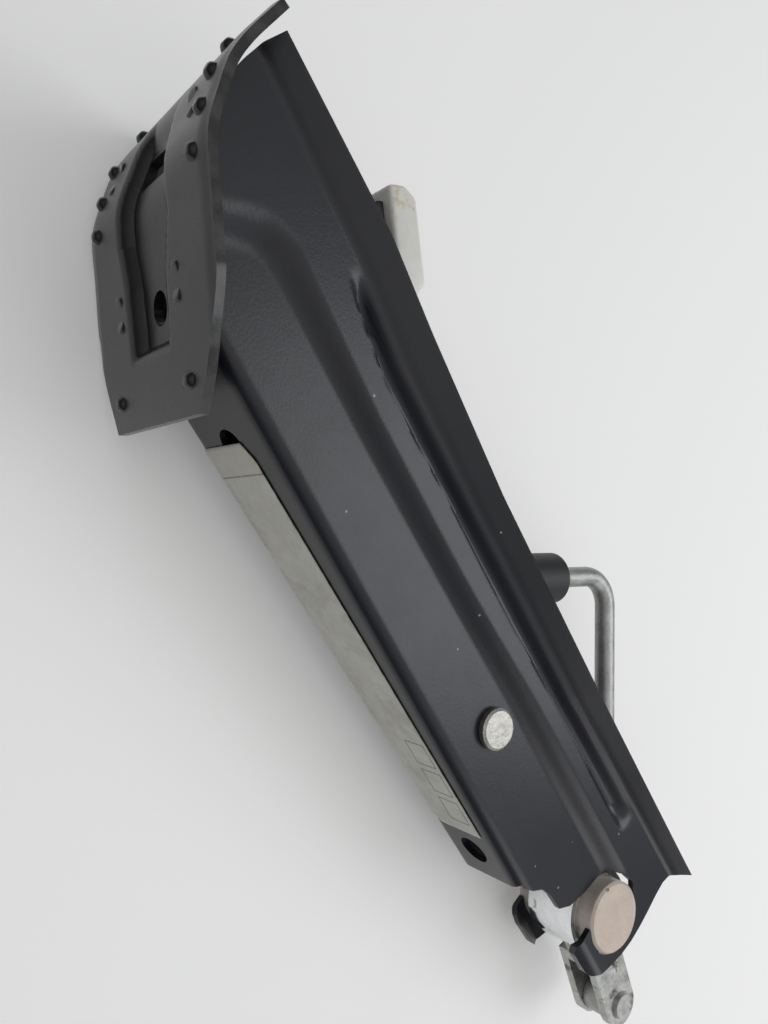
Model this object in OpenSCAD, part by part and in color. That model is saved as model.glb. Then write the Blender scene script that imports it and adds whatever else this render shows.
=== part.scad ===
// Single-column swing-arm screw jack, folded for stowage and lying on its side.
// +X runs along the column from foot to crank, +Y from its web to its open side, +Z up.

/* [Column] */
// Length of the web, from the heel of the foot to its free end
web_len = 265; // [200:1:320]
// Half width over the two side walls, level with the start of the web
wall_half = 26.5; // [24:0.5:34]
// Narrowing of each side wall towards the crank, in degrees
wall_taper = 2; // [0:0.1:2.2]
// Sheet thickness of the column
sheet = 2.5; // [1.5:0.1:3.2]
// Depth from the web to the lips of the side walls
column_depth = 70; // [62:1:84]
// Diameter of the two stowage holes in the web
stow_hole_d = 13; // [8:0.5:16]

/* [Foot] */
// Width of the foot plate at its toe
foot_w = 98; // [84:1:120]
// Width of the foot plate at its heel
heel_w = 68; // [60:1:80]
// Thickness of the foot plate
foot_t = 3; // [2:0.5:5]
// Length of the flat heel, from the toe bend to the heel edge
heel_len = 70; // [62:1:80]
// Length of the turned-up toe
toe_len = 27; // [20:1:32]
// Diameter of the drain hole in the sole
sole_hole_d = 11; // [6:0.5:16]

/* [Arm] */
// Distance from the arm's pivot to the saddle pin
arm_len = 187; // [150:1:195]
// Half width over the arm's side plates
arm_half = 14.8; // [14:0.1:15]
// Thickness of the arm's side plates
arm_t = 2.5; // [2:0.1:3]
// Diameter of the pivot rivet
rivet_d = 10; // [8:0.5:12]
// Length of the saddle pad across the arm
pad_w = 34; // [30:1:40]

/* [Screw] */
// Diameter of the screw's thread
screw_d = 14; // [10:0.5:15]
// Distance from the trunnion to the nut when the arm is down
nut_reach = 125; // [118:1:128]
// Outer diameter of the trunnion sleeve
trunnion_d = 36; // [32:1:38]

/* [Crank] */
// Diameter of the crank rod
rod_d = 9; // [7:0.5:10]
// Length of the crank, from its hinge to its corner
crank_len = 193; // [180:1:200]
// Outer diameter of the grip
grip_d = 22; // [16:1:23]
// Length of the grip
grip_len = 70; // [50:1:74]

/* [Hidden] */
$fn = 48;

fit_gap = 0.3;        // between curved faces of pieces that move past each other
run_gap = 0.08;       // radial gap of a shaft that turns in a bore
slide_gap = 0.1;      // between flat faces that turn on each other
level = 4;            // height of the raised strip over the flat beside the web
lip_rise = 10;        // height of the lip over the same flat
lean = 1.4;           // opening of the strip towards the crank, in degrees

pivot = [201, 24];
trunnion = [315.5, 30.6];
hinge = [366, 18.5];
screw_turn = atan2(trunnion[1] - hinge[1], trunnion[0] - hinge[0]);
screw_dir = [cos(screw_turn), sin(screw_turn)];
nut_at = trunnion + nut_reach * screw_dir;
arm_turn = 164.8;
saddle_at = pivot + arm_len * [cos(arm_turn), sin(arm_turn)];
crank_turn = 145;
crank_dir = [cos(crank_turn), sin(crank_turn)];
corner = hinge + crank_len * crank_dir;
bend_r = 14;
handle_dir = [cos(crank_turn + 90), sin(crank_turn + 90)];
handle_start = 37;    // bare rod from the corner to the grip
hinge_reach = norm(hinge - trunnion);
heel_turn = -29;
toe_turn = 110;
toe_bend = [-17.8, 17.8];
foot_half = foot_w / 2;
web_start = 17.5;
disc_r = trunnion_d / 2 - 3;
sleeve_t = 2;
notch_r = disc_r + fit_gap;
neck_r = 10.5;        // the bearing block where the screw leaves it
neck_reach = 20;      // from the trunnion to the face that takes the screw's thrust
clevis_r = 9.5;
toe_at = toe_bend + [-14.6, 13.6];
bend_at = corner + bend_r * (handle_dir - crank_dir);
x_low = toe_at[0] + toe_len * cos(toe_turn);
x_high = hinge[0] + clevis_r;
y_low = toe_bend[1] + heel_len * sin(heel_turn);
y_high = bend_at[1] + bend_r + rod_d / 2 - 0.05;

function wall_at(x) = wall_half - x * tan(wall_taper);

// Half length of the sleeve: it fits between the walls where they stand closest over it
function sleeve_half() = wall_at(trunnion[0] + trunnion_d / 2) - sheet - 0.2;

// Everything is drawn about the column's middle plane, then set down with its lowest edge at z = 0
module at_rest() {
    translate([-(x_low + x_high) / 2, -(y_low + y_high) / 2, foot_half]) children();
}

// Draws along the screw: x runs from the trunnion towards the arm
module along_screw() {
    translate([trunnion[0], trunnion[1], 0]) rotate([0, 0, screw_turn]) children();
}

// A cylinder along local x, from one place on it to another
module rod_x(from, to, r) {
    translate([from, 0, 0]) rotate([0, 90, 0]) cylinder(h = to - from, r = r);
}

// One side wall's section in y and z: flat beside the web, step, raised strip and lip
module wall_section() {
    d = column_depth;
    polygon([[0, -sheet], [29, -sheet], [33, level - sheet], [d - 7, level - sheet], [d - 1.5, lip_rise - sheet],
        [d + 1.2, lip_rise - sheet], [d + 1.2, lip_rise], [d - 3, lip_rise], [d - 9, level], [31.5, level],
        [27.5, 0], [0, 0]]);
}

// Side view of the walls, from inside the foot plate's thickness to the open hook at the crank end
module wall_outline() {
    polygon([[web_start, 0], [web_len, 0], [web_len + 12, 10], [290, 11.8], [trunnion[0], 30], [trunnion[0] + 3, 7],
        [327.5, 8], [334, 20], [334, 51], [332, 65], [338, 90], [-38.9, 90], [-38.9, 58.2], [-39.8, 57], [-31, 32],
        [-28.1, 30.4], [-24.9, 24.8], [-19.7, 20.5]]);
}

module wall_upper() {
    intersection() {
        rotate([0, wall_taper, 0]) translate([0, 0, wall_half]) rotate([0, 0, lean])
            translate([-70, 0, 0]) rotate([90, 0, 90]) linear_extrude(430) wall_section();
        translate([0, 0, -60]) linear_extrude(120) wall_outline();
    }
}

module web() {
    half_far = wall_at(web_len) - 1;
    half_near = wall_at(web_start) - 1;
    rotate([-90, 0, 0]) difference() {
        linear_extrude(sheet) polygon([[web_start, -half_near], [web_len, -half_far], [web_len, half_far],
            [web_start, half_near]]);
        for (at = [[48, 7], [web_len - 15, 0]]) translate([at[0], at[1], -1]) cylinder(h = sheet + 2, d = stow_hole_d);
    }
}

module column() {
    color("#26282d") at_rest() difference() {
        union() {
            web();
            wall_upper();
            mirror([0, 0, 1]) wall_upper();
        }
        translate([pivot[0], pivot[1], -40]) cylinder(h = 80, d = rivet_d);
        translate([trunnion[0], trunnion[1], -40]) cylinder(h = 80, r = notch_r);
        translate([0, 0, -60]) linear_extrude(120) sole_profile();
    }
}

// Side view of the sole: flat heel, bend and turned-up toe, drawn from the bend
module sole_profile() {
    translate(toe_bend) {
        rotate(heel_turn) translate([-3, 0]) square([heel_len + 3, foot_t]);
        rotate(heel_turn) translate([-3, 20]) difference() {
            intersection() {
                circle(r = 20);
                polygon([[0, 0], [0, -30], [-30, -30], [-22, 8]]);
            }
            circle(r = 20 - foot_t);
        }
        translate(toe_at - toe_bend) rotate(toe_turn - 180) translate([-toe_len, 0]) square([toe_len + 4, foot_t]);
    }
}

module foot_plate() {
    half = foot_half;
    heel_half = heel_w / 2;
    color("#1f2126") at_rest() difference() {
        intersection() {
            translate([0, 0, -half]) linear_extrude(foot_w) sole_profile();
            translate([0, 80, 0]) rotate([90, 0, 0]) linear_extrude(120)
                polygon([[-60, -half], [12, -half], [50, -heel_half], [50, heel_half], [12, half], [-60, half]]);
        }
        translate([toe_bend[0], toe_bend[1], 0]) rotate([0, 0, heel_turn])
            translate([18, -4, 0]) rotate([-90, 0, 0]) cylinder(h = 12, d = sole_hole_d);
        translate([-32, 26, -9]) cube([26, 14, 18]);
    }
}

// Fillet welds along the walls where they stand on the foot plate
module weld_beads() {
    color("#2c2e33") at_rest() for (side = [-1, 1]) translate([toe_bend[0], toe_bend[1], 0])
        rotate([0, 0, heel_turn]) translate([14, foot_t + 1.85, side * (wall_half + 2)])
            rotate([0, 90, 0]) cylinder(h = 34, r = 1.8, $fn = 16);
}

module label() {
    color("#d8d4c8") at_rest() translate([59, 0, 0]) rotate([90, 0, 0])
        linear_extrude(0.25) polygon([[0, -19], [0, 6.4], [7, 9.9], [179, 11.6], [179, -13], [176, -15.4]]);
}

module pivot_rivet() {
    half = wall_at(pivot[0]) + 0.4;
    color("#c9cac6") at_rest() translate([pivot[0], pivot[1], 0]) {
        translate([0, 0, -half]) cylinder(h = 2 * half, d = rivet_d - 0.1);
        for (side = [0, 180]) rotate([side, 0, 0]) translate([0, 0, half]) {
            cylinder(h = 2.2, d = 16);
            translate([0, 0, 2.2]) cylinder(h = 0.8, d1 = 16, d2 = 14);
        }
    }
}

module ring(r_out, r_in, h) {
    difference() {
        cylinder(h = h, r = r_out);
        translate([0, 0, -1]) cylinder(h = h + 2, r = r_in);
    }
}

module pivot_washers() {
    color("silver") at_rest() translate([pivot[0], pivot[1], 0]) for (side = [0, 180]) rotate([side, 0, 0])
        translate([0, 0, arm_half + slide_gap]) ring(13, rivet_d / 2 + run_gap, 1.4);
}

module pivot_tube() {
    half = arm_half - arm_t - slide_gap;
    color("silver") at_rest() translate([pivot[0], pivot[1], -half]) ring(8.5, rivet_d / 2 + run_gap, 2 * half);
}

// One side plate: bosses at the pivot, the nut and the saddle pin, joined by straight edges
module arm_outline() {
    reach = arm_turn - 90;
    side = [cos(reach), sin(reach)];
    along = [cos(arm_turn), sin(arm_turn)];
    difference() {
        union() {
            translate(pivot) circle(r = 17);
            translate(nut_at) circle(r = 12);
            translate(saddle_at) circle(r = 11);
            polygon([pivot + [17, 0], nut_at + [12, 0], nut_at + 11.5 * side, pivot + 70 * along + 15 * side, pivot]);
            polygon([pivot - 17 * side, pivot + 17 * side, saddle_at + 11 * side, saddle_at - 11 * side]);
        }
        translate(pivot) circle(r = rivet_d / 2 + run_gap);
        translate(nut_at) circle(r = 5);
        translate(saddle_at) circle(r = 4.05);
    }
}

module arm_plates() {
    color("#26282d") at_rest() for (z = [arm_half - arm_t, -arm_half]) translate([0, 0, z])
        linear_extrude(arm_t) arm_outline();
}

// Cross web near the saddle, on the side of the arm that faces the column's web
module arm_web() {
    inner = arm_half - arm_t;
    color("#26282d") at_rest() translate([pivot[0], pivot[1], -inner]) rotate([0, 0, arm_turn])
        translate([arm_len - 46, 10, 0]) cube([30, arm_t, 2 * inner]);
}

module nut_rivets() {
    color("silver") at_rest() translate([nut_at[0], nut_at[1], 0]) for (side = [0, 180]) rotate([side, 0, 0])
        translate([0, 0, arm_half - arm_t]) cylinder(h = arm_t, r = 5);
}

module at_saddle() {
    translate([saddle_at[0], saddle_at[1], 0]) rotate([0, 0, -26]) children();
}

module saddle_bracket() {
    inner = arm_half - arm_t - fit_gap;
    color("#26282d") at_rest() at_saddle() difference() {
        union() {
            for (z = [inner - 2.5, -inner]) translate([0, 0, z]) linear_extrude(2.5) union() {
                circle(r = 9);
                translate([-9, 0]) square([18, 15]);
            }
            translate([-14, 14, -inner]) cube([28, 2.5, 2 * inner]);
        }
        translate([0, 0, -30]) cylinder(h = 60, r = 4.05);
    }
}

module saddle_pad() {
    color("#e8e8e2") at_rest() at_saddle() translate([0, 16.5, -pad_w / 2])
        linear_extrude(pad_w) polygon([[-19, 0], [19, 0], [19, 8], [15, 12], [-15, 12], [-19, 8]]);
}

module saddle_pin() {
    color("silver") at_rest() translate([saddle_at[0], saddle_at[1], -arm_half - 1.5])
        cylinder(h = 2 * arm_half + 3, r = 4);
}

// Room for the folded crank rod, which lies close over the screw
module crank_relief() {
    translate([hinge[0], hinge[1], 0]) rotate([0, 0, crank_turn]) rod_x(15, 110, rod_d / 2 + 1.2);
}

module trunnion_sleeve() {
    half = sleeve_half();
    color("#d5d8da") at_rest() difference() {
        translate([trunnion[0], trunnion[1], -half]) ring(trunnion_d / 2, trunnion_d / 2 - sleeve_t, 2 * half);
        along_screw() rod_x(-30, 30, neck_r + fit_gap);
        crank_relief();
    }
}

// Nylon block inside the sleeve: a hub in each wall's notch, and a neck that carries the screw's thrust
module bearing_block() {
    half = wall_at(trunnion[0]) + level - 0.5;
    core_r = trunnion_d / 2 - sleeve_t - 0.1;
    color("#d8cbb6") at_rest() difference() {
        union() {
            translate([trunnion[0], trunnion[1], -half]) cylinder(h = 2 * half, r = disc_r);
            translate([trunnion[0], trunnion[1], -sleeve_half()]) cylinder(h = 2 * sleeve_half(), r = core_r);
            along_screw() rod_x(-neck_reach, 0, neck_r);
        }
        along_screw() rod_x(-40, 40, screw_d / 2 + run_gap);
        crank_relief();
    }
}

module end_discs() {
    half = wall_at(trunnion[0]) + level - 0.5;
    color("#dccfbd") at_rest() translate([trunnion[0], trunnion[1], 0]) for (side = [0, 180])
        rotate([side, 0, 0]) translate([0, 0, half]) {
            cylinder(h = 1.2, r = disc_r);
            translate([0, 0, 1.2]) cylinder(h = 1, r1 = disc_r, r2 = disc_r - 1);
        }
}

module screw() {
    color("silver") at_rest() along_screw() union() {
        rod_x(-neck_reach - 2, nut_reach + 6, screw_d / 2 - 1);
        for (x = [20 : 4 : nut_reach + 2]) translate([x, 0, 0]) rotate([0, 90, 0])
            cylinder(h = 2, r = screw_d / 2);
        rod_x(-neck_reach, 16, screw_d / 2);
    }
}

module thrust_ring() {
    color("silver") at_rest() difference() {
        along_screw() translate([-neck_reach - 1.9, 0, 0]) rotate([0, 90, 0]) ring(neck_r, screw_d / 2 - 1 + run_gap, 1.8);
        crank_relief();
    }
}

// Fork on the end of the screw that holds the crank's eye; its base leaves room for the folded rod
module clevis() {
    tail = -hinge_reach;
    base = -neck_reach - 2;
    color("#8f9290") at_rest() along_screw() difference() {
        union() {
            translate([base - 5, -4.2, -clevis_r]) cube([5, 4.2 + clevis_r, 2 * clevis_r]);
            for (z = [5.5, -clevis_r]) translate([0, 0, z]) linear_extrude(4) union() {
                translate([tail, 0]) circle(r = clevis_r);
                translate([tail, -clevis_r]) square([base - tail, 2 * clevis_r]);
            }
        }
        translate([tail, 0, -20]) cylinder(h = 40, r = 4.05);
    }
}

module clevis_pin() {
    color("#a5a8a6") at_rest() translate([hinge[0], hinge[1], 0]) union() {
        translate([0, 0, -9.5]) cylinder(h = 19, r = 4);
        for (side = [0, 180]) rotate([side, 0, 0]) translate([0, 0, 9.5]) cylinder(h = 2, r1 = 6, r2 = 5);
    }
}

module screw_stop() {
    color("silver") at_rest() along_screw() rod_x(nut_reach + 6, nut_reach + 8, screw_d / 2 - 0.5);
}

module nut() {
    half = arm_half - arm_t - fit_gap;
    color("#9a9c9a") at_rest() along_screw() difference() {
        translate([nut_reach - 9, -11, -half]) cube([13, 22, 2 * half]);
        rod_x(nut_reach - 20, nut_reach + 20, screw_d / 2 + run_gap);
    }
}

// Rod from the hinge eye to the corner, and back as the handle
module crank() {
    back = corner - bend_r * crank_dir;
    turn_c = back + bend_r * handle_dir;
    handle_end = handle_start + grip_len + 4;
    color("#8b8e8c") at_rest() difference() {
        union() {
            translate([hinge[0], hinge[1], -5.2]) cylinder(h = 10.4, r = 8);
            translate([hinge[0], hinge[1], 0]) rotate([0, 0, crank_turn]) rod_x(6, crank_len - bend_r + 0.5, rod_d / 2);
            translate([turn_c[0], turn_c[1], 0]) rotate([0, 0, crank_turn - 90])
                rotate_extrude(angle = 90) translate([bend_r, 0]) circle(d = rod_d - 0.1);
            translate([corner[0], corner[1], 0]) rotate([0, 0, crank_turn + 90]) rod_x(bend_r - 0.5, handle_end, rod_d / 2);
        }
        translate([hinge[0], hinge[1], -20]) cylinder(h = 40, r = 4 + run_gap);
    }
}

module at_handle() {
    translate([corner[0], corner[1], 0]) rotate([0, 0, crank_turn + 90]) children();
}

module grip() {
    color("#1b1c1e") at_rest() at_handle() difference() {
        rod_x(handle_start, handle_start + grip_len, grip_d / 2);
        rod_x(handle_start - 1, handle_start + grip_len + 1, rod_d / 2 + run_gap);
    }
}

module grip_cap() {
    end = handle_start + grip_len;
    color("#8b8e8c") at_rest() at_handle() difference() {
        rod_x(end + slide_gap, end + 2, rod_d / 2 + 2.5);
        rod_x(end - 1, end + 3, rod_d / 2);
    }
}

column();
foot_plate();
weld_beads();
label();
pivot_rivet();
pivot_washers();
pivot_tube();
arm_plates();
arm_web();
saddle_bracket();
saddle_pad();
saddle_pin();
nut_rivets();
trunnion_sleeve();
bearing_block();
end_discs();
screw();
thrust_ring();
clevis();
clevis_pin();
screw_stop();
nut();
crank();
grip();
grip_cap();
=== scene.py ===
import math
import bmesh
import bpy
import numpy as np
from mathutils import Matrix, Vector


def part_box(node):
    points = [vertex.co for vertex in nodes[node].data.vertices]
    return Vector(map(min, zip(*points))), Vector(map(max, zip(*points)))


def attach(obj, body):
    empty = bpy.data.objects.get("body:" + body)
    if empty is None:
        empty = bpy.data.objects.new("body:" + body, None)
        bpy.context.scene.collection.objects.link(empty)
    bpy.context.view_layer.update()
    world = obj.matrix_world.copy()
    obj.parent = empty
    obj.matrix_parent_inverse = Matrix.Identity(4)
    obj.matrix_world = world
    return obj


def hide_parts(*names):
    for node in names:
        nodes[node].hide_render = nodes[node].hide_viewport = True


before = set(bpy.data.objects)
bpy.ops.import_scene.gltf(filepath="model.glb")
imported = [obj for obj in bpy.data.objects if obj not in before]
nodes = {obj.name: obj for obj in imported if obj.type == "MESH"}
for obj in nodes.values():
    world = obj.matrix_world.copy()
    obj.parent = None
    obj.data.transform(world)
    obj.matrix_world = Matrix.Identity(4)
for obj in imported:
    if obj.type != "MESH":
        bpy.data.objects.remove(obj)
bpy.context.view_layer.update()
print("jack frame loaded")


# middle of a node's box in millimetres
def mid(node):
    low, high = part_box(node)
    return np.array((low + high) / 2) * 1000


# the pivot in drawing millimetres, x from foot to crank, y from the web
pivotDrawn = np.array([201.0, 24.0, 0.0])
drawnZero = mid("pivot_rivet") - pivotDrawn        # where the drawing's zero lies in the frame, millimetres


# drawing millimetres to frame metres: add the drawing's zero, divide by a thousand
def toFrame(points):
    return (np.asarray(points, float) + drawnZero) / 1000


cameraSetting = {"place": (14.67, -112.90, 244.47), "lens": 28.58,
    "right": (0.83181553, -0.55478522, -0.01390526), "up": (0.45306695, 0.66440976, 0.59432602),
    "ahead": (0.32048451, 0.50066963, -0.80410399)}


# the long side of the view runs along -right, so the camera's x is up and its y is -right
def addCamera(s):
    data = bpy.data.cameras.new("jackCamera")
    data.lens = s["lens"]
    data.sensor_width = 36
    data.sensor_fit = "AUTO"
    data.clip_start = 0.01
    cam = bpy.data.objects.new("jackCamera", data)
    bpy.context.scene.collection.objects.link(cam)
    x, y, z = np.array(s["up"]), -np.array(s["right"]), -np.array(s["ahead"])
    place = toFrame(s["place"])
    cam.matrix_world = Matrix([[x[i], y[i], z[i], place[i]] for i in range(3)] + [[0, 0, 0, 1]])
    bpy.context.scene.camera = cam


addCamera(cameraSetting)

tableSetting = {"through": [(-43, 58, -49), (15, -1, -49), (335, 77, -25)], "half": 2.2, "colour": (0.87, 0.865,
    0.85),
    "drop": 0.2, "lift": 0.15}


# a square in the plane through three low points of the jack, which lies a little tilted on it
def addTable(s):
    a, b, c = [toFrame(p) for p in s["through"]]
    n = np.cross(b - a, c - a)
    n /= np.linalg.norm(n)
    n = n if n[2] > 0 else -n
    u = np.cross(n, [0, 1, 0])
    u /= np.linalg.norm(u)
    v = np.cross(n, u)
    h = s["half"]
    corners = [a - n * s["drop"] / 1000 + u * i * h + v * j * h for i, j in ((-1, -1), (1, -1), (1, 1), (-1, 1))]
    mesh = bpy.data.meshes.new("table")
    mesh.from_pydata([tuple(p) for p in corners], [], [(0, 1, 2, 3)])
    table = bpy.data.objects.new("table", mesh)
    bpy.context.scene.collection.objects.link(table)
    return table


table = addTable(tableSetting)

lampSetting = [
    {"name": "skyPanel", "from": (0.55, 0.75, 1.15), "size": 0.9, "watts": 6.0, "colour": (0.95, 0.97, 1.0)},
    {"name": "sidePanel", "from": (1.2, -0.1, 0.7), "size": 0.7, "watts": 2.4, "colour": (1.0, 0.99, 0.97)},
]


# square panels that face the middle of the jack
def addLamps(settings):
    for s in settings:
        data = bpy.data.lights.new(s["name"], "AREA")
        data.shape = "SQUARE"
        data.size = s["size"]
        data.energy = s["watts"]
        data.color = s["colour"]
        lamp = bpy.data.objects.new(s["name"], data)
        lamp.location = s["from"]
        lamp.rotation_euler = (-Vector(s["from"])).to_track_quat("-Z", "Y").to_euler()
        bpy.context.scene.collection.objects.link(lamp)


addLamps(lampSetting)

bpy.context.scene.view_settings.view_transform = "Standard"
world = bpy.data.worlds.new("softRoom")
bpy.context.scene.world = world
world.use_nodes = True


# bright overhead, dim round the sides; what the camera sees of it stays pale
def lightRoom(tree, s):
    back = tree.nodes["Background"]
    coord = tree.nodes.new("ShaderNodeTexCoord")
    parts = tree.nodes.new("ShaderNodeSeparateXYZ")
    shades = tree.nodes.new("ShaderNodeValToRGB")
    tree.links.new(coord.outputs["Generated"], parts.inputs[0])
    tree.links.new(parts.outputs["Z"], shades.inputs[0])
    for element, (at, colour) in zip((shades.color_ramp.elements[0], shades.color_ramp.elements[1],
            shades.color_ramp.elements.new(0.5)), s["shades"]):
        element.color = (*colour, 1)
        element.position = at
    tree.links.new(shades.outputs[0], back.inputs["Color"])
    back.inputs["Strength"].default_value = s["strength"]


roomSetting = {"strength": 0.80, "shades": [(0.10, (0.10, 0.10, 0.11)), (0.95, (1.0, 1.0, 1.0)), (0.50, (0.34,
    0.35, 0.38))]}
lightRoom(world.node_tree, roomSetting)
print("camera, table and lamps set")


# an empty shader group with its sockets
def newGroup(name, inputs, outputs):
    group = bpy.data.node_groups.new(name, "ShaderNodeTree")
    for label, kind, value in inputs:
        sock = group.interface.new_socket(name=label, in_out="INPUT", socket_type=kind)
        if value is not None:
            sock.default_value = value
    for label, kind in outputs:
        group.interface.new_socket(name=label, in_out="OUTPUT", socket_type=kind)
    return group, group.nodes.new("NodeGroupInput"), group.nodes.new("NodeGroupOutput")


# one math node; a and b are numbers or sockets
def combine(tree, how, a, b=None, clamp=False):
    node = tree.nodes.new("ShaderNodeMath")
    node.operation = how
    node.use_clamp = clamp
    for i, value in enumerate((a, b)):
        if value is None:
            continue
        if isinstance(value, (int, float)):
            node.inputs[i].default_value = value
        else:
            tree.links.new(value, node.inputs[i])
    return node.outputs[0]


# a colour ramp through (position, shade) stops
def ramp(tree, value, stops):
    node = tree.nodes.new("ShaderNodeValToRGB")
    tree.links.new(value, node.inputs[0])
    while len(node.color_ramp.elements) < len(stops):
        node.color_ramp.elements.new(0.5)
    for element, (position, shade) in zip(node.color_ramp.elements, stops):
        element.position = position
        element.color = (shade, shade, shade, 1) if isinstance(shade, (int, float)) else (*shade, 1)
    return node.outputs[0]


# cloud noise between 0 and 1
def noise(tree, vector, scale, detail=3.0, rough=0.5):
    node = tree.nodes.new("ShaderNodeTexNoise")
    for label, value in (("Scale", scale), ("Detail", detail), ("Roughness", rough)):
        if isinstance(value, (int, float)):
            node.inputs[label].default_value = value
        else:
            tree.links.new(value, node.inputs[label])
    tree.links.new(vector, node.inputs["Vector"])
    return node.outputs["Fac"]


# two sizes of cloud added up and stretched about a half
def makeMottle():
    group, gin, gout = newGroup("mottle", [("Vector", "NodeSocketVector", None), ("Scale", "NodeSocketFloat",
        60.0),
        ("Contrast", "NodeSocketFloat", 1.0)], [("Amount", "NodeSocketFloat")])
    big = noise(group, gin.outputs["Vector"], gin.outputs["Scale"], 4.0, 0.6)
    fine = noise(group, gin.outputs["Vector"], combine(group, "MULTIPLY", gin.outputs["Scale"], 6.0), 3.0, 0.6)
    both = combine(group, "ADD", combine(group, "MULTIPLY", big, 0.65), combine(group, "MULTIPLY", fine, 0.35))
    spread = combine(group, "MULTIPLY", combine(group, "SUBTRACT", both, 0.5), gin.outputs["Contrast"])
    group.links.new(combine(group, "ADD", spread, 0.5, True), gout.inputs["Amount"])
    return group


# thin lines where a stretched, bent cloud crosses a narrow band, kept only in patches
def makeScratches():
    group, gin, gout = newGroup("scratches", [("Vector", "NodeSocketVector", None), ("Scale", "NodeSocketFloat",
        40.0),
        ("Amount", "NodeSocketFloat", 0.5)], [("Mask", "NodeSocketFloat")])
    total = None
    for turn, stretch in ((0.5, (1.0, 14.0, 14.0)), (2.1, (12.0, 1.0, 12.0))):
        mapping = group.nodes.new("ShaderNodeMapping")
        mapping.inputs["Rotation"].default_value = (turn, turn * 0.7, turn * 1.3)
        mapping.inputs["Scale"].default_value = stretch
        group.links.new(gin.outputs["Vector"], mapping.inputs["Vector"])
        line = noise(group, mapping.outputs[0], gin.outputs["Scale"], 2.0, 0.4)
        thin = ramp(group, line, [(0.0, 0.0), (0.495, 0.0), (0.5, 1.0), (0.505, 0.0)])
        patch = ramp(group, noise(group, gin.outputs["Vector"], combine(group, "MULTIPLY", gin.outputs["Scale"],
            0.9), 2.0),
            [(0.0, 0.0), (0.6, 0.0), (0.68, 1.0)])
        one = combine(group, "MULTIPLY", thin, patch)
        total = one if total is None else combine(group, "MAXIMUM", total, one)
    group.links.new(combine(group, "MULTIPLY", total, gin.outputs["Amount"], True), gout.inputs["Mask"])
    return group


# small round dots: near each random cell centre, and only in some cells
def makeSpecks():
    group, gin, gout = newGroup("specks", [("Vector", "NodeSocketVector", None), ("Scale", "NodeSocketFloat",
        200.0),
        ("Share", "NodeSocketFloat", 0.2), ("Size", "NodeSocketFloat", 0.15)], [("Mask", "NodeSocketFloat")])
    cells = group.nodes.new("ShaderNodeTexVoronoi")
    group.links.new(gin.outputs["Vector"], cells.inputs["Vector"])
    group.links.new(gin.outputs["Scale"], cells.inputs["Scale"])
    near = combine(group, "LESS_THAN", cells.outputs["Distance"], gin.outputs["Size"])
    chosen = group.nodes.new("ShaderNodeSeparateColor")
    group.links.new(cells.outputs["Color"], chosen.inputs[0])
    some = combine(group, "LESS_THAN", chosen.outputs[0], gin.outputs["Share"])
    group.links.new(combine(group, "MULTIPLY", near, some), gout.inputs["Mask"])
    return group


# how much the surface is an outward edge, roughened by a cloud
def makeEdgeWear():
    group, gin, gout = newGroup("edgeWear", [("Vector", "NodeSocketVector", None), ("Scale", "NodeSocketFloat",
        120.0),
        ("Reach", "NodeSocketFloat", 0.08)], [("Mask", "NodeSocketFloat")])
    shape = group.nodes.new("ShaderNodeNewGeometry")
    edge = combine(group, "DIVIDE", combine(group, "SUBTRACT", shape.outputs["Pointiness"], 0.53),
        gin.outputs["Reach"], True)
    cloud = ramp(group, noise(group, gin.outputs["Vector"], gin.outputs["Scale"], 4.0), [(0.42, 0.0), (0.62, 1.0)])
    group.links.new(combine(group, "MULTIPLY", edge, cloud), gout.inputs["Mask"])
    return group


mottle, scratches, specks, edgeWear = makeMottle(), makeScratches(), makeSpecks(), makeEdgeWear()


# a new material, its tree, its shader and the object coordinates
def startMaterial(name):
    made = bpy.data.materials.new(name)
    made.use_nodes = True
    tree = made.node_tree
    shader = tree.nodes["Principled BSDF"]
    coord = tree.nodes.new("ShaderNodeTexCoord")
    return made, tree, shader, coord.outputs["Object"]


# puts a shared effect into a material with its own values
def place(tree, group, vector, **values):
    node = tree.nodes.new("ShaderNodeGroup")
    node.node_tree = group
    tree.links.new(vector, node.inputs["Vector"])
    for label, value in values.items():
        node.inputs[label].default_value = value
    return node.outputs[0]


# first colour where amount is 0, second where it is 1
def mixColour(tree, amount, first, second):
    node = tree.nodes.new("ShaderNodeMix")
    node.data_type = "RGBA"
    tree.links.new(amount, node.inputs["Factor"])
    for value, sock in ((first, node.inputs[6]), (second, node.inputs[7])):
        if isinstance(value, tuple):
            sock.default_value = (*value, 1)
        else:
            tree.links.new(value, sock)
    return node.outputs[2]


# stretches 0..1 over low..high
def span(tree, value, low, high):
    return combine(tree, "ADD", combine(tree, "MULTIPLY", value, high - low), low)


# bump from a height socket
def addBump(tree, shader, height, strength, distance):
    node = tree.nodes.new("ShaderNodeBump")
    node.inputs["Strength"].default_value = strength
    node.inputs["Distance"].default_value = distance
    tree.links.new(height, node.inputs["Height"])
    tree.links.new(node.outputs[0], shader.inputs["Normal"])


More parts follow.
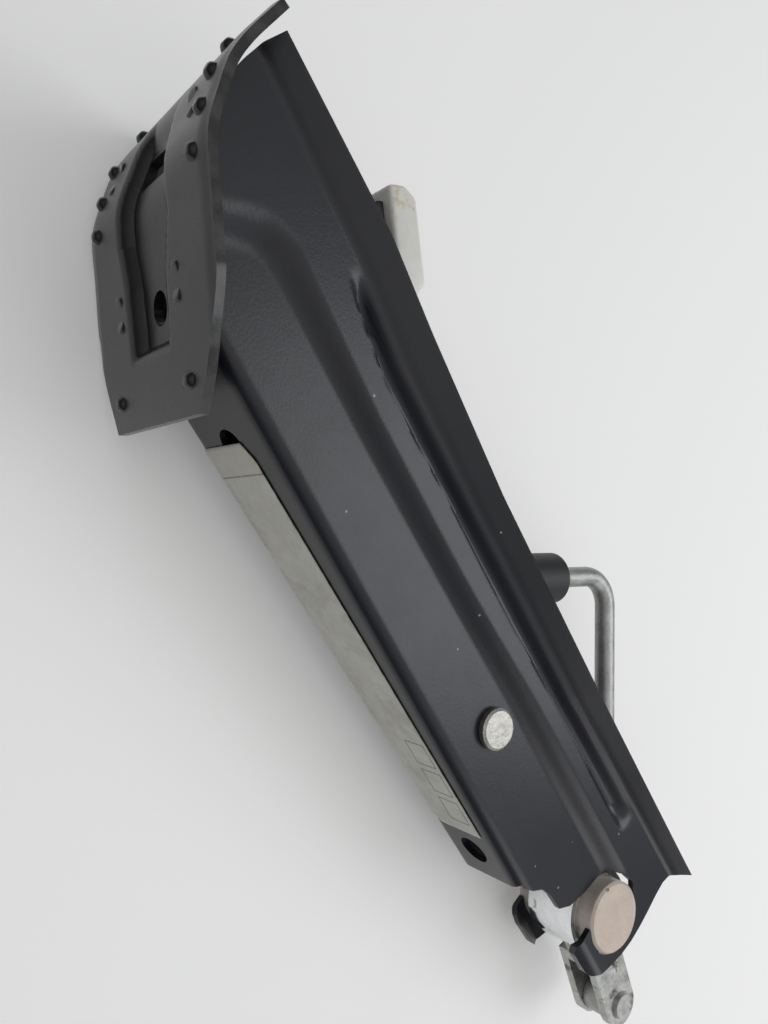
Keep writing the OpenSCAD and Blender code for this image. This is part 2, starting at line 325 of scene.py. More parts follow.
# smooth dark dip coat with fine orange peel, thin scratches, pale specks and worn edges
def makeBlackCoat(name, s):
    made, tree, shader, at = startMaterial(name)
    cloud = place(tree, mottle, at, Scale=s["cloud"], Contrast=1.6)
    colour = mixColour(tree, cloud, s["dark"], s["light"])
    colour = mixColour(tree, place(tree, scratches, at, Scale=s["lines"], Amount=0.30), colour, s["scuff"])
    colour = mixColour(tree, place(tree, specks, at, Scale=330.0, Share=0.010, Size=0.16), colour, (0.30, 0.28,
        0.25))
    colour = mixColour(tree, place(tree, edgeWear, at, Scale=150.0, Reach=0.16), colour, s["scuff"])
    tree.links.new(colour, shader.inputs["Base Color"])
    tree.links.new(span(tree, place(tree, mottle, at, Scale=45.0, Contrast=1.5), s["rough"][0], s["rough"][1]),
        shader.inputs["Roughness"])
    shader.inputs["Specular IOR Level"].default_value = s["gloss"]
    addBump(tree, shader, noise(tree, at, 900.0, 2.0), 0.10, 0.0004)
    return made


# bright plating: grey clouds, dark stains, fine scratches
def makePlated(name, s):
    made, tree, shader, at = startMaterial(name)
    cloud = place(tree, mottle, at, Scale=s["cloud"], Contrast=s["contrast"])
    colour = mixColour(tree, cloud, s["dark"], s["light"])
    stain = ramp(tree, noise(tree, at, s["stainScale"], 4.0, 0.65), [(s["stainFrom"], 0.0),
        (s["stainFrom"] + 0.12, 1.0)])
    colour = mixColour(tree, stain, colour, s["stain"])
    tree.links.new(colour, shader.inputs["Base Color"])
    shader.inputs["Metallic"].default_value = s["metal"]
    tree.links.new(span(tree, cloud, s["rough"][0], s["rough"][1]), shader.inputs["Roughness"])
    line = place(tree, scratches, at, Scale=90.0, Amount=0.6)
    height = combine(tree, "SUBTRACT", noise(tree, at, s["bumpScale"], 3.0), combine(tree, "MULTIPLY", line, 0.6))
    addBump(tree, shader, height, s["bump"], 0.0005)
    return made


# moulded plastic: slight cloud, dark grease marks, soft bump; a little light passes into pale ones
def makePlastic(name, s):
    made, tree, shader, at = startMaterial(name)
    cloud = place(tree, mottle, at, Scale=s["cloud"], Contrast=1.8)
    colour = mixColour(tree, cloud, s["dark"], s["light"])
    mark = ramp(tree, noise(tree, at, s["markScale"], 5.0, 0.7), [(s["markFrom"], 0.0), (s["markFrom"] + 0.07,
        1.0)])
    colour = mixColour(tree, mark, colour, s["mark"])
    tree.links.new(colour, shader.inputs["Base Color"])
    tree.links.new(span(tree, cloud, s["rough"][0], s["rough"][1]), shader.inputs["Roughness"])
    if s.get("glow"):
        shader.inputs["Subsurface Weight"].default_value = s["glow"]
        shader.inputs["Subsurface Radius"].default_value = (1.0, 0.9, 0.75)
        shader.inputs["Subsurface Scale"].default_value = 0.004
    addBump(tree, shader, noise(tree, at, s["bumpScale"], 3.0), s["bump"], 0.0004)
    return made


columnCoat = makeBlackCoat("columnCoat", {"dark": (0.0055, 0.0060, 0.0095), "light": (0.0100, 0.0110, 0.0170),
    "scuff": (0.060, 0.058, 0.056), "cloud": 26.0, "lines": 26.0, "rough": (0.26, 0.36), "gloss": 0.5})
footCoat = makeBlackCoat("footCoat", {"dark": (0.0070, 0.0070, 0.0066), "light": (0.0130, 0.0130, 0.0122),
    "scuff": (0.08, 0.08, 0.075), "cloud": 34.0, "lines": 40.0, "rough": (0.24, 0.34), "gloss": 0.5})
lugCoat = makeBlackCoat("lugCoat", {"dark": (0.0050, 0.0050, 0.0055), "light": (0.0090, 0.0090, 0.0100),
    "scuff": (0.06, 0.06, 0.06), "cloud": 60.0, "lines": 60.0, "rough": (0.12, 0.24), "gloss": 0.6})
armCoat = makeBlackCoat("armCoat", {"dark": (0.0110, 0.0112, 0.0130), "light": (0.0190, 0.0195, 0.0220),
    "scuff": (0.10, 0.10, 0.09), "cloud": 40.0, "lines": 50.0, "rough": (0.32, 0.46), "gloss": 0.5})
weldCoat = makeBlackCoat("weldCoat", {"dark": (0.0120, 0.0122, 0.0135), "light": (0.0260, 0.0260, 0.0270),
    "scuff": (0.10, 0.09, 0.08), "cloud": 90.0, "lines": 50.0, "rough": (0.36, 0.52), "gloss": 0.5})
rivetZinc = makePlated("rivetZinc", {"dark": (0.30, 0.29, 0.26), "light": (0.62, 0.61, 0.56), "stain": (0.10,
    0.095, 0.08),
    "cloud": 210.0, "contrast": 3.2, "stainScale": 170.0, "stainFrom": 0.62, "metal": 0.85, "rough": (0.34, 0.50),
    "bumpScale": 520.0, "bump": 0.35})
sleeveChrome = makePlated("sleeveChrome", {"dark": (0.62, 0.64, 0.66), "light": (0.90, 0.91, 0.92),
    "stain": (0.16, 0.13, 0.10),
    "cloud": 90.0, "contrast": 2.0, "stainScale": 120.0, "stainFrom": 0.62, "metal": 1.0, "rough": (0.08, 0.20),
    "bumpScale": 300.0, "bump": 0.12})
screwSteel = makePlated("screwSteel", {"dark": (0.40, 0.39, 0.37), "light": (0.70, 0.69, 0.66), "stain": (0.08,
    0.06, 0.04),
    "cloud": 110.0, "contrast": 2.4, "stainScale": 90.0, "stainFrom": 0.55, "metal": 0.95, "rough": (0.25, 0.45),
    "bumpScale": 420.0, "bump": 0.25})
crankZinc = makePlated("crankZinc", {"dark": (0.25, 0.25, 0.24), "light": (0.52, 0.53, 0.51), "stain": (0.10,
    0.085, 0.06),
    "cloud": 120.0, "contrast": 2.6, "stainScale": 70.0, "stainFrom": 0.60, "metal": 0.75, "rough": (0.34, 0.56),
    "bumpScale": 380.0, "bump": 0.30})
clevisZinc = makePlated("clevisZinc", {"dark": (0.30, 0.30, 0.28), "light": (0.62, 0.63, 0.60), "stain": (0.05,
    0.045, 0.035),
    "cloud": 150.0, "contrast": 2.8, "stainScale": 120.0, "stainFrom": 0.56, "metal": 0.8, "rough": (0.30, 0.55),
    "bumpScale": 420.0, "bump": 0.35})
bearingNylon = makePlastic("bearingNylon", {"dark": (0.46, 0.40, 0.33), "light": (0.74, 0.68, 0.60),
    "mark": (0.10, 0.08, 0.055),
    "cloud": 85.0, "markScale": 95.0, "markFrom": 0.63, "rough": (0.30, 0.48), "bumpScale": 300.0, "bump": 0.15,
    "glow": 0.2})
discNylon = makePlastic("discNylon", {"dark": (0.56, 0.45, 0.37), "light": (0.76, 0.66, 0.57), "mark": (0.12,
    0.09, 0.06),
    "cloud": 95.0, "markScale": 110.0, "markFrom": 0.66, "rough": (0.26, 0.40), "bumpScale": 260.0,
    "bump": 0.12, "glow": 0.2})
padNylon = makePlastic("padNylon", {"dark": (0.66, 0.65, 0.58), "light": (0.84, 0.84, 0.81), "mark": (0.62,
    0.55, 0.38),
    "cloud": 35.0, "markScale": 40.0, "markFrom": 0.62, "rough": (0.34, 0.50), "bumpScale": 240.0, "bump": 0.12,
    "glow": 0.5})
gripRubber = makePlastic("gripRubber", {"dark": (0.010, 0.010, 0.011), "light": (0.022, 0.022, 0.023),
    "mark": (0.06, 0.06, 0.06),
    "cloud": 60.0, "markScale": 160.0, "markFrom": 0.68, "rough": (0.42, 0.60), "bumpScale": 700.0, "bump": 0.25})


# matt pale board, a little brighter to the camera and in reflections
def makeTableTop(name, s):
    made, tree, shader, at = startMaterial(name)
    tree.links.new(mixColour(tree, place(tree, mottle, at, Scale=3.0, Contrast=1.0), s["colour"],
        tuple(v * 0.985 for v in s["colour"])), shader.inputs["Base Color"])
    shader.inputs["Roughness"].default_value = 0.62
    shader.inputs["Specular IOR Level"].default_value = 0.25
    rays = tree.nodes.new("ShaderNodeLightPath")
    shader.inputs["Emission Color"].default_value = (1.0, 1.0, 0.985, 1)
    tree.links.new(combine(tree, "MULTIPLY", combine(tree, "MAXIMUM", rays.outputs["Is Camera Ray"],
        rays.outputs["Is Glossy Ray"]),
        s["lift"]), shader.inputs["Emission Strength"])
    return made


table.data.materials.append(makeTableTop("tableTop", tableSetting))
print("finishes made")


# quads of a grid of nu by nv points; the second direction may close on itself
def gridFaces(nu, nv, closeV=False, flip=False):
    iu = np.arange(nu - 1)
    iv = np.arange(nv if closeV else nv - 1)
    u, v = np.meshgrid(iu, iv, indexing="ij")
    u, v = u.ravel(), v.ravel()
    u2, v2 = (u + 1) % nu, (v + 1) % nv
    quads = np.stack([u * nv + v, u2 * nv + v, u2 * nv + v2, u * nv + v2], 1)
    return quads[:, ::-1] if flip else quads


# drawing points and quads into a mesh in the frame, riding on a body
def meshFrom(name, points, quads, material, body):
    mesh = bpy.data.meshes.new(name)
    mesh.from_pydata(toFrame(points).tolist(), [], quads.tolist())
    mesh.polygons.foreach_set("use_smooth", np.full(len(mesh.polygons), True))
    mesh.materials.append(material)
    piece = bpy.data.objects.new(name, mesh)
    bpy.context.scene.collection.objects.link(piece)
    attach(piece, body)
    return piece


# merges doubled points and turns the faces outwards
def tidyMesh(piece, merge=1e-6):
    work = bmesh.new()
    work.from_mesh(piece.data)
    bmesh.ops.remove_doubles(work, verts=work.verts, dist=merge)
    bmesh.ops.recalc_face_normals(work, faces=work.faces)
    work.to_mesh(piece.data)
    work.free()


# keeps edges over this angle crisp
def sharpEdges(piece, degrees):
    piece.data.set_sharp_from_angle(angle=math.radians(degrees))


# cross product of the two directions' steps, made one long
def gridNormals(grid):
    du = np.gradient(grid, axis=0)
    dv = np.gradient(grid, axis=1)
    n = np.cross(du, dv)
    return n / np.maximum(np.linalg.norm(n, axis=2, keepdims=True), 1e-9)


# an outer grid and the same grid moved in along its normals, joined round the rim
def shellFrom(name, outer, thick, material, body, sign=1.0):
    inner = outer - sign * thick * gridNormals(outer)
    nu, nv = outer.shape[:2]
    points = np.concatenate([outer.reshape(-1, 3), inner.reshape(-1, 3)])
    top = gridFaces(nu, nv)
    low = gridFaces(nu, nv, flip=True) + nu * nv
    rim = np.concatenate([np.arange(nv), np.arange(1, nu) * nv + nv - 1, (nu - 1) * nv + np.arange(nv - 2, -1, -1),
        np.arange(nu - 2, 0, -1) * nv])
    nxt = np.roll(rim, -1)
    side = np.stack([rim, nxt, nxt + nu * nv, rim + nu * nv], 1)
    piece = meshFrom(name, points, np.concatenate([top, low, side]), material, body)
    tidyMesh(piece)
    return piece


# a closed body between two rings of as many points: the side faces, then the two ends
def prismBetween(name, ringA, ringB):
    n = len(ringA)
    i = np.arange(n)
    side = np.stack([i, (i + 1) % n, (i + 1) % n + n, i + n], 1).tolist()
    mesh = bpy.data.meshes.new(name)
    mesh.from_pydata(toFrame(np.concatenate([ringA, ringB])).tolist(), [], side + [i[::-1].tolist(),
        (i + n).tolist()])
    made = bpy.data.objects.new(name, mesh)
    bpy.context.scene.collection.objects.link(made)
    tidyMesh(made)
    return made


# a closed outline in x and y, carried from one z to another
def prismFrom(name, outline, low, high):
    outline = np.asarray(outline, float)
    n = len(outline)
    return prismBetween(name, np.c_[outline, np.full(n, low)], np.c_[outline, np.full(n, high)])


# takes the cutters out of the piece for good
def cutAway(piece, cutters):
    for cutter in cutters:
        mod = piece.modifiers.new("cut", "BOOLEAN")
        mod.operation = "DIFFERENCE"
        mod.solver = "EXACT"
        mod.object = cutter
    bpy.context.view_layer.update()
    ready = piece.evaluated_get(bpy.context.evaluated_depsgraph_get())
    mesh = bpy.data.meshes.new_from_object(ready)
    piece.modifiers.clear()
    old = piece.data
    piece.data = mesh
    bpy.data.meshes.remove(old)
    for cutter in cutters:
        bpy.data.objects.remove(cutter)


# centre plus radius times cosine and sine of equal steps
def ringPoints(centre, radius, count, start=0.0, sweep=2 * math.pi):
    a = start + sweep * np.arange(count) / count
    return np.c_[centre[0] + radius * np.cos(a), centre[1] + radius * np.sin(a)]


# 3t2 - 2t3 of the share t of the way from low to high
def smooth(x, low, high):
    t = np.clip((x - low) / (high - low), 0, 1)
    return t * t * (3 - 2 * t)


columnShape = {"half": 26.5, "narrowing": 0.0348, "fillet": 5.0, "sheet": 2.5, "raise": 4.6, "flare": 6.2,
    "groove": 3.6,
    "rows": 190, "farEnd": 340.0,
    "stepFoot": ([-45, -8, -3, 2, 6.3, 9.7, 14.4, 21.3, 30, 60, 85, 111, 148, 197, 252, 340],
        [-4, 0, 5, 14, 21.1, 25.4, 27.8, 28.7, 29.0, 29.3, 29.6, 30.4, 31.8, 34.5, 36.4, 39.6]),
    "stepTop": ([-45, -22, -14, -8, -4.8, -0.8, 3.7, 14, 27, 45, 72, 107, 138, 169, 206, 252, 340],
        [-3, 6, 14, 21, 26, 32.5, 37.4, 40.6, 40.0, 39.4, 38.6, 39.7, 40.6, 42.4, 45.0, 46.6, 49]),
    "grooveFoot": ([0, 31, 44, 65, 88, 113, 144, 175, 210, 250, 290], [52, 51, 49, 46.2, 46.6, 48.0, 48.7, 49.6,
    51.6, 52.6, 53.4]),
    "grooveTop": ([0, 31, 50, 65, 88, 121, 163, 219, 269, 309, 340], [57, 57.5, 56.2, 55.4, 56.0, 57.0, 59.2,
    61.0, 65, 67.1, 69]),
    "lip": ([-45, -38, 26.4, 60, 124, 230, 331, 340], [65, 65.4, 69.8, 68.2, 67.0, 70.6, 75.4, 75.9]),
    "footEdge": ([-2, 0, 17.8, 24, 28.6, 33.1, 37.3, 45.3, 52.4, 59.1, 64, 80],
        [20.6, 17.0, -15.0, -21.5, -25.2, -29.2, -32.2, -35.6, -38.0, -39.6, -39.2, -38.4]),
    "rowsAcross": 66, "rowsWeb": 8, "rowsFillet": 8, "deepest": 67, "raisedFrom": (299, 308), "settle": (4, 12),
    "grooveFall": (0.0, 0.38), "grooveRise": (0.45, 1.0), "grooveStart": (29, 44), "grooveEnd": (279, 289),
    "crankEnd": [(265, -8), (265, 2.2), (267.2, 2.5), (271.5, 5.2), (275.5, 9.6), (281, 11.2), (290.1, 11.8),
    (294.5, 17),
        (297.3, 27), (298.4, 36), (301.5, 42.4), (306.5, 46.2), (313.5, 48.2)],
    "notch": {"at": (315.4, 30.6), "radius": 15.6, "from": 84, "sweep": -158},
    "hook": [(307.6, 17.4), (307.9, 12.5), (309, 8.6), (312, 6.9), (316.5, 7), (324, 7.2), (327.5, 8.4), (330.2,
    13),
        (332.2, 19), (334.0, 26), (334.8, 33.5), (334.4, 42), (333.5, 49), (332.2, 57), (331.7, 63.5), (332.9,
        68.5),
        (335.2, 72.5), (338.4, 76.6), (338.7, 90), (360, 90), (360, -8)],
    "bore": (201, 24, 5.0), "stowHoles": (60.0, 250.0), "stowRadius": 6.5}


# level over the plateau: a step to the raised strip, less a groove, plus the flare out to the lip
def wallLevel(x, y, s):
    bottom, top = np.interp(x, *s["stepFoot"]), np.interp(x, *s["stepTop"])
    strip = smooth(y, bottom, np.maximum(top, bottom + 1))
    strip = np.maximum(strip, smooth(x, *s["raisedFrom"]))
    left, right = np.interp(x, *s["grooveFoot"]), np.interp(x, *s["grooveTop"])
    across = np.clip((y - left) / (right - left), 0, 1)
    dip = smooth(across, *s["grooveFall"]) * (1 - smooth(across, *s["grooveRise"]))
    length = smooth(x, *s["grooveStart"]) * (1 - smooth(x, *s["grooveEnd"]))
    lip = np.interp(x, *s["lip"])
    flare = np.clip((y - right) / np.maximum(lip - right, 1), 0, 1)
    flare = flare * smooth(flare, -0.2, 0.35)
    return s["raise"] * strip - s["groove"] * dip * length * 1.25 + s["flare"] * flare


# across: web, quarter-round fillet, wall; along: from the foot's inner face to past the hook
def columnGrid(s):
    along = np.linspace(0, 1, s["rows"])
    webPart = np.linspace(0, 1, s["rowsWeb"] + 1)[:-1]
    bendPart = np.linspace(0, 1, s["rowsFillet"] + 1)[:-1]
    wallPart = np.linspace(0, 1, s["rowsAcross"])
    kinds = np.repeat([0, 1, 2], [s["rowsWeb"], s["rowsFillet"], s["rowsAcross"]])
    part = np.concatenate([webPart, bendPart, wallPart])
    u, p = np.meshgrid(along, part, indexing="ij")
    k = np.broadcast_to(kinds, u.shape)
    r = s["fillet"]
    yGuess = np.where(k == 2, r + p * (s["deepest"] - r), 0)
    x0 = np.interp(yGuess, *s["footEdge"])
    x = x0 + u * (s["farEnd"] - x0)
    for _ in range(2):
        lip = np.interp(x, *s["lip"])
        y = np.where(k == 0, 0, np.where(k == 1, r - r * np.cos(p * math.pi / 2), r + p * (lip - r)))
        x0 = np.interp(y, *s["footEdge"])
        x = x0 + u * (s["farEnd"] - x0)
    half = s["half"] - s["narrowing"] * x
    level = np.where(k == 2, wallLevel(x, y, s) * smooth(y, *s["settle"]), 0)
    z = np.where(k == 0, p * (half - r), np.where(k == 1, half - r + r * np.sin(p * math.pi / 2), half + level))
    side = np.stack([x, y, z], 2)
    other = side[:, :0:-1] * np.array([1, 1, -1])
    return np.concatenate([other, side], 1)


# shell from the grid, then the crank end's outline, notch, stow holes and rivet bore are cut
def addColumn(s):
    outer = columnGrid(s)
    piece = shellFrom("columnShell", outer, s["sheet"], columnCoat, "column", sign=1.0)
    notch = s["notch"]
    arc = ringPoints(notch["at"], notch["radius"], 40, math.radians(notch["from"]), math.radians(notch["sweep"]))
    endOutline = np.array(s["crankEnd"] + [tuple(q) for q in arc] + s["hook"])
    cutters = [prismFrom("endCutter", endOutline, -60, 60)]
    cutters.append(prismFrom("boreCutter", ringPoints(s["bore"][:2], s["bore"][2], 40), -60, 60))
    for holeX in s["stowHoles"]:
        circle = ringPoints((holeX, 0), s["stowRadius"], 40)
        ring = np.c_[circle[:, 0], np.full(40, -9.0), circle[:, 1]]
        cutters.append(prismBetween("stowCutter", ring, ring + np.array([0, 18.0, 0])))
    cutAway(piece, cutters)
    sharpEdges(piece, 38)
    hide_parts("column")
    print("column:", len(piece.data.polygons), "faces")


addColumn(columnShape)


footShape = {"profile": [(42.6, -16.6), (39.7, -14.8), (33.6, -11.2), (28.1, -8.1), (21.1, -4.2), (14.9, -0.5),
    (8.3, 3), (0.9, 7.3),
        (-9.2, 13.1), (-14.2, 15.7), (-17.8, 17.8), (-21.2, 20.4), (-24.2, 23.5), (-28.1, 28.6), (-31.9, 33.1),
        (-34.7, 37.3), (-37.9, 45.3), (-40.1, 52.4),
        (-41.4, 56.8)],
    "width": ([-50, 10, 14.9, 21, 28, 33.6, 39.7, 42.6], [48.8, 48.8, 47.3, 45.4, 42.6, 39.6, 35.6, 33.6]),
    "thick": 3.0, "trough": 4.4, "slotS": (77.5, 88.0), "slotZ": 12.0, "holeS": 36.6, "hole": 5.5,
    "troughHalf": ([0, 22, 45, 60, 72, 100], [16.5, 16.5, 17.5, 21.5, 21, 15]), "troughSide": 3.6,
    "troughHeel": (20.5, 25.0),
    "troughToe": (90, 104), "rimFrom": (43.5, 49), "rim": 0.72, "curlReach": 15, "curlFrom": (30, 49), "curl": 4.2,
    "cone": {"radius": 5.4, "height": 5.2}, "bow": {"length": 8.6, "width": 5.4, "height": 4.8},
    "cones": [(9.8, 28.4), (69.0, 40.4), (81.0, 41.5), (92.5, 40.0), (107.0, 34.0)], "bows": [(38.6, 23.6, 0.0),
    (87.5, 31.5, 0.5)]}


# the profile at equal steps of its length, softened, with its outward normals
def sampleProfile(s, count):
    p = np.array(s["profile"], float)
    d = np.r_[0, np.cumsum(np.hypot(*np.diff(p, axis=0).T))]
    at = np.linspace(0, d[-1], count)
    x, y = np.interp(at, d, p[:, 0]), np.interp(at, d, p[:, 1])
    soft = np.ones(9) / 9
    pad = lambda v: np.r_[2 * v[0] - v[4:0:-1], v, 2 * v[-1] - v[-2:-6:-1]]
    x, y = np.convolve(pad(x), soft, "valid"), np.convolve(pad(y), soft, "valid")
    tx, ty = np.gradient(x), np.gradient(y)
    length = np.hypot(tx, ty)
    return at, x, y, ty / length, -tx / length, d[-1]


# the sole's side profile carried across its width, pressed in along the trough and curled at the toe's corners
def addFoot(s):
    at, x, y, nx, ny, total = sampleProfile(s, 150)
    if ny[0] > 0:
        nx, ny = -nx, -ny
    across = np.linspace(-1, 1, 121)
    half = np.interp(x, *s["width"])
    a, w = np.meshgrid(at, across, indexing="ij")
    z = w * half[:, None]
    troughHalf = np.interp(a, *s["troughHalf"])
    inside = 1 - smooth(np.abs(z), troughHalf - s["troughSide"], troughHalf)
    dip = inside * smooth(a, *s["troughHeel"]) * (1 - smooth(a, *s["troughToe"]))
    rim = smooth(np.abs(z), *s["rimFrom"]) * s["rim"]
    curl = smooth(a, total - s["curlReach"], total) * smooth(z, *s["curlFrom"]) * s["curl"]
    press = -s["trough"] * dip - rim + curl * 0.2
    px = x[:, None] + nx[:, None] * press
    py = y[:, None] + ny[:, None] * press + curl
    outer = np.stack([px, py, z], 2)
    piece = shellFrom("footSole", outer, s["thick"], footCoat, "column", sign=1.0)
    here = int(np.argmin(np.abs(at - s["holeS"])))
    centre = np.array([x[here], y[here], 0.0])
    tangent = np.array([-ny[here], nx[here], 0.0])
    outward = np.array([nx[here], ny[here], 0.0])
    b = 2 * math.pi * np.arange(40) / 40
    ring = centre + s["hole"] * (np.cos(b)[:, None] * tangent + np.sin(b)[:, None] * np.array([0, 0, 1.0]))
    cutters = [prismBetween("holeCutter", ring + outward * 9, ring - outward * 12)]
    i0, i1 = int(np.argmin(np.abs(at - s["slotS"][0]))), int(np.argmin(np.abs(at - s["slotS"][1])))
    p0, p1 = np.array([x[i0], y[i0], 0.0]), np.array([x[i1], y[i1], 0.0])
    out = np.array([nx[(i0 + i1) // 2], ny[(i0 + i1) // 2], 0.0])
    zz = np.array([0, 0, s["slotZ"]])
    slotRing = np.array([p0 - zz, p0 + zz, p1 + zz, p1 - zz])
    cutters.append(prismBetween("slotCutter", slotRing + out * 9, slotRing - out * 14))
    cutAway(piece, cutters)
    sharpEdges(piece, 42)
    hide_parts("foot_plate")
    print("foot:", len(piece.data.polygons), "faces")
    return at, x, y, nx, ny


profile = addFoot(footShape)


# cones and bow-ties pressed out of the sole: height over a small disc of the sole's own plane
def addLugs(s, profile):
    at, x, y, nx, ny = profile
    cone, bow = s["cone"], s["bow"]
    r, a = np.meshgrid(np.linspace(0, 1, 10), 2 * math.pi * np.arange(28) / 28, indexing="ij")
    points, quads, count = [], [], 0
    for alongSole, z0, turn in [(c[0], c[1], None) for c in s["cones"]] + list(s["bows"]):
        for side in (-1, 1):
            i = int(np.argmin(np.abs(at - alongSole)))
            centre = np.array([x[i], y[i], side * z0])
            out = np.array([nx[i], ny[i], 0.0])
            tangent = np.array([-ny[i], nx[i], 0.0])
            if turn is None:
                uu, vv = cone["radius"] * r * np.cos(a), cone["radius"] * r * np.sin(a)
                rise = cone["height"] * (1 - smooth(r, 0.22, 0.98)) - 0.4
            else:
                waist = 0.50 + 0.70 * np.abs(np.cos(a)) ** 1.2
                uu, vv = bow["length"] * r * np.cos(a), bow["width"] * r * np.sin(a) * waist
                rise = bow["height"] * (1 - smooth(r, 0.62,
                    1.0)) * (0.50 + 0.50 * np.abs(r * np.cos(a)) ** 0.7) - 0.3
                c, q = math.cos(turn * side), math.sin(turn * side)
                uu, vv = uu * c - vv * q, uu * q + vv * c
            bulge = centre + uu[..., None] * tangent + vv[..., None] * np.array([0, 0, 1.0]) + rise[...,
                None] * out
            points.append(bulge.reshape(-1, 3))
            quads.append(gridFaces(10, 28, closeV=True) + count)
            count += 280
    piece = meshFrom("footLugs", np.concatenate(points), np.concatenate(quads), lugCoat, "column")
    tidyMesh(piece, 1e-7)
    print("lugs:", len(points))


addLugs(footShape, profile)


stickerShape = {"foot": 59.0, "far": 238.0, "low": (-20.5, -15.4), "high": (7.4, 11.6), "lift": 0.30,
    "corner": 6.0,
    "frames": [(196, 3.6), (211, 3.6), (226, 3.6)], "tapeEnd": 71.0}


# aged white film with a yellow cast, clear tape at one end, a stain line and empty printed boxes
def makeStickerFilm(name, s):
    made, tree, shader, at = startMaterial(name)
    cloud = place(tree, mottle, at, Scale=70.0, Contrast=2.2)
    colour = mixColour(tree, cloud, (0.50, 0.49, 0.42), (0.70, 0.69, 0.63))
    stain = ramp(tree, noise(tree, at, 55.0, 5.0, 0.7), [(0.50, 0.0), (0.66, 1.0)])
    colour = mixColour(tree, combine(tree, "MULTIPLY", stain, 0.55), colour, (0.36, 0.35, 0.27))
    uv = tree.nodes.new("ShaderNodeUVMap")
    uv.uv_map = "stickerMap"
    parts = tree.nodes.new("ShaderNodeSeparateXYZ")
    tree.links.new(uv.outputs[0], parts.inputs[0])
    u, v = parts.outputs["X"], parts.outputs["Y"]
    ink = None
    for cx, cy in s["frames"]:
        dx = combine(tree, "ABSOLUTE", combine(tree, "SUBTRACT", u, cx))
        dy = combine(tree, "ABSOLUTE", combine(tree, "SUBTRACT", v, cy))
        far = combine(tree, "MAXIMUM", combine(tree, "SUBTRACT", dx, 0.6), combine(tree, "SUBTRACT", dy, 0.2))
        box = combine(tree, "COMPARE", far, 5.2)
        box.node.inputs[2].default_value = 0.28
        ink = box if ink is None else combine(tree, "MAXIMUM", ink, box)
    colour = mixColour(tree, combine(tree, "MULTIPLY", ink, 0.85), colour, (0.05, 0.05, 0.05))
    tape = combine(tree, "LESS_THAN", u, s["tapeEnd"])
    colour = mixColour(tree, combine(tree, "MULTIPLY", tape, 0.35), colour, (0.55, 0.52, 0.40))
    edge = combine(tree, "COMPARE", u, s["tapeEnd"])
    edge.node.inputs[2].default_value = 0.35
    colour = mixColour(tree, combine(tree, "MULTIPLY", edge, 0.7), colour, (0.16, 0.13, 0.08))
    tree.links.new(colour, shader.inputs["Base Color"])
    tree.links.new(span(tree, cloud, 0.30, 0.48), shader.inputs["Roughness"])
    addBump(tree, shader, noise(tree, at, 160.0, 4.0, 0.6), 0.35, 0.0006)
    return made


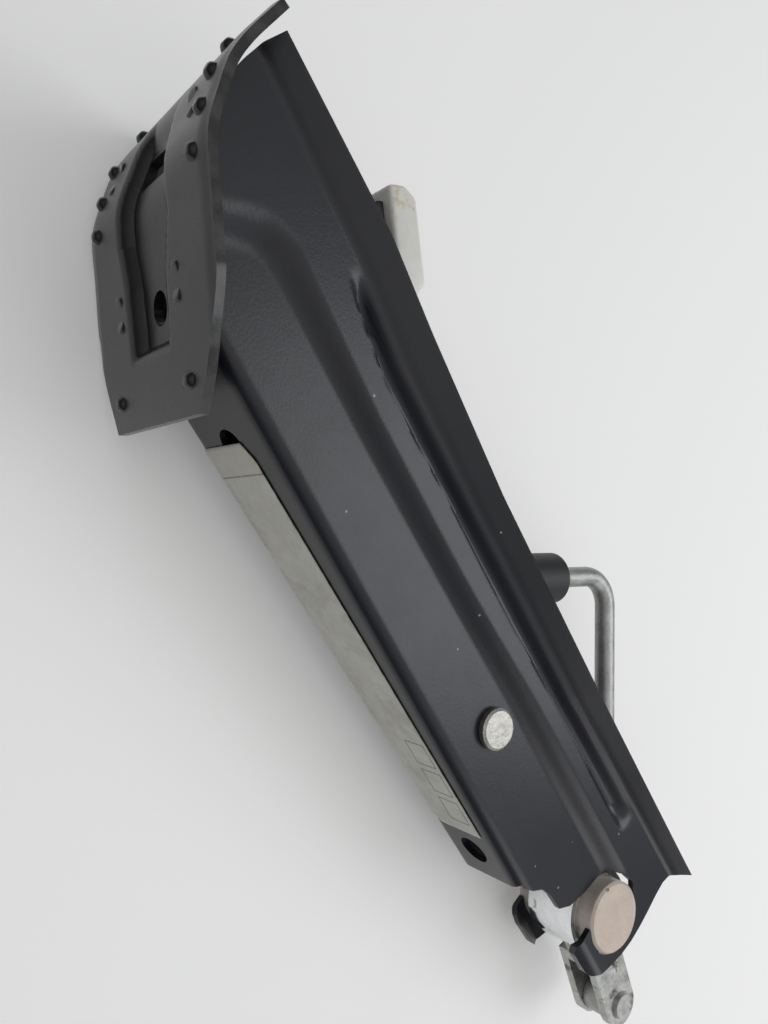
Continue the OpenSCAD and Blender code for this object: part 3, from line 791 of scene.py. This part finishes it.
# a thin film over the web: four edges, two cut corners, lifted a little by a soft wrinkle
def addSticker(s):
    u, v = np.meshgrid(np.linspace(0, 1, 120), np.linspace(0, 1, 24), indexing="ij")
    x = s["foot"] + u * (s["far"] - s["foot"])
    low = np.interp(x, [s["foot"], s["far"] - 4, s["far"]], [s["low"][0], s["low"][1], s["low"][1] + 4])
    high = np.interp(x, [s["foot"], s["foot"] + 7, s["far"]], [s["high"][0] - 1, s["high"][0] + 2.5, s["high"][1]])
    z = low + v * (high - low)
    flat = 26.5 - 0.0348 * x - 5.0
    over = np.clip(np.abs(z) - flat, 0, 5)
    wrinkle = 0.10 * np.sin(x * 0.31 + z * 0.4) * np.sin(z * 0.23 + x * 0.07) + 0.05 * np.sin(x * 0.9 - z * 1.1)
    y = -s["lift"] - np.abs(wrinkle) + (5 - np.sqrt(np.maximum(25 - over ** 2, 0)))
    grid = np.stack([x, y, z], 2)
    piece = shellFrom("stickerFilm", grid, 0.2, stickerFilm, "column", sign=-1.0)
    points = np.array([c.co[:] for c in piece.data.vertices]) * 1000 - drawnZero
    layer = piece.data.uv_layers.new(name="stickerMap")
    at = np.array([loop.vertex_index for loop in piece.data.loops])
    layer.data.foreach_set("uv", points[at][:, [0, 2]].ravel())
    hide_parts("label")


stickerFilm = makeStickerFilm("stickerFilm", stickerShape)
addSticker(stickerShape)
print("sticker laid")


padShape = {"outline": [(-19, 0), (21, 0), (21, 7), (16, 12), (-14.5, 12), (-19, 7.5)], "width": 34,
    "round": 1.8, "turn": -26.0, "from": 16.5}


# the pad's outline carried across the arm, its edges rounded
def addPad(s):
    outline = np.array(s["outline"], float) + np.array([0, s["from"]])
    a = math.radians(s["turn"])
    at = mid("saddle_pin") - drawnZero
    turnedOutline = np.c_[outline[:, 0] * math.cos(a) - outline[:, 1] * math.sin(a) + at[0],
        outline[:, 0] * math.sin(a) + outline[:, 1] * math.cos(a) + at[1]]
    piece = prismFrom("saddleCap", turnedOutline, -s["width"] / 2, s["width"] / 2)
    piece.data.materials.append(padNylon)
    bevel = piece.modifiers.new("softEdges", "BEVEL")
    bevel.width = s["round"] / 1000
    bevel.segments = 4
    bevel.limit_method = "ANGLE"
    bevel.angle_limit = math.radians(20)
    piece.data.polygons.foreach_set("use_smooth", np.full(len(piece.data.polygons), True))
    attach(piece, "saddle")
    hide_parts("saddle_pad")


addPad(padShape)
print("pad made")


nodeFinish = {"weld_beads": weldCoat, "pivot_washers": rivetZinc, "pivot_tube": screwSteel,
    "pivot_rivet": rivetZinc,
    "arm_plates": armCoat, "arm_web": armCoat, "saddle_bracket": armCoat, "saddle_pad": padNylon,
    "saddle_pin": rivetZinc,
    "nut_rivets": rivetZinc, "trunnion_sleeve": sleeveChrome, "bearing_block": bearingNylon,
    "end_discs": discNylon,
    "screw": screwSteel, "thrust_ring": rivetZinc, "clevis": clevisZinc, "clevis_pin": clevisZinc,
    "screw_stop": screwSteel,
    "nut": screwSteel, "crank": crankZinc, "grip": gripRubber, "grip_cap": crankZinc, "label": padNylon}
for nodeName, finish in nodeFinish.items():
    data = nodes[nodeName].data
    data.materials.clear()
    data.materials.append(finish)
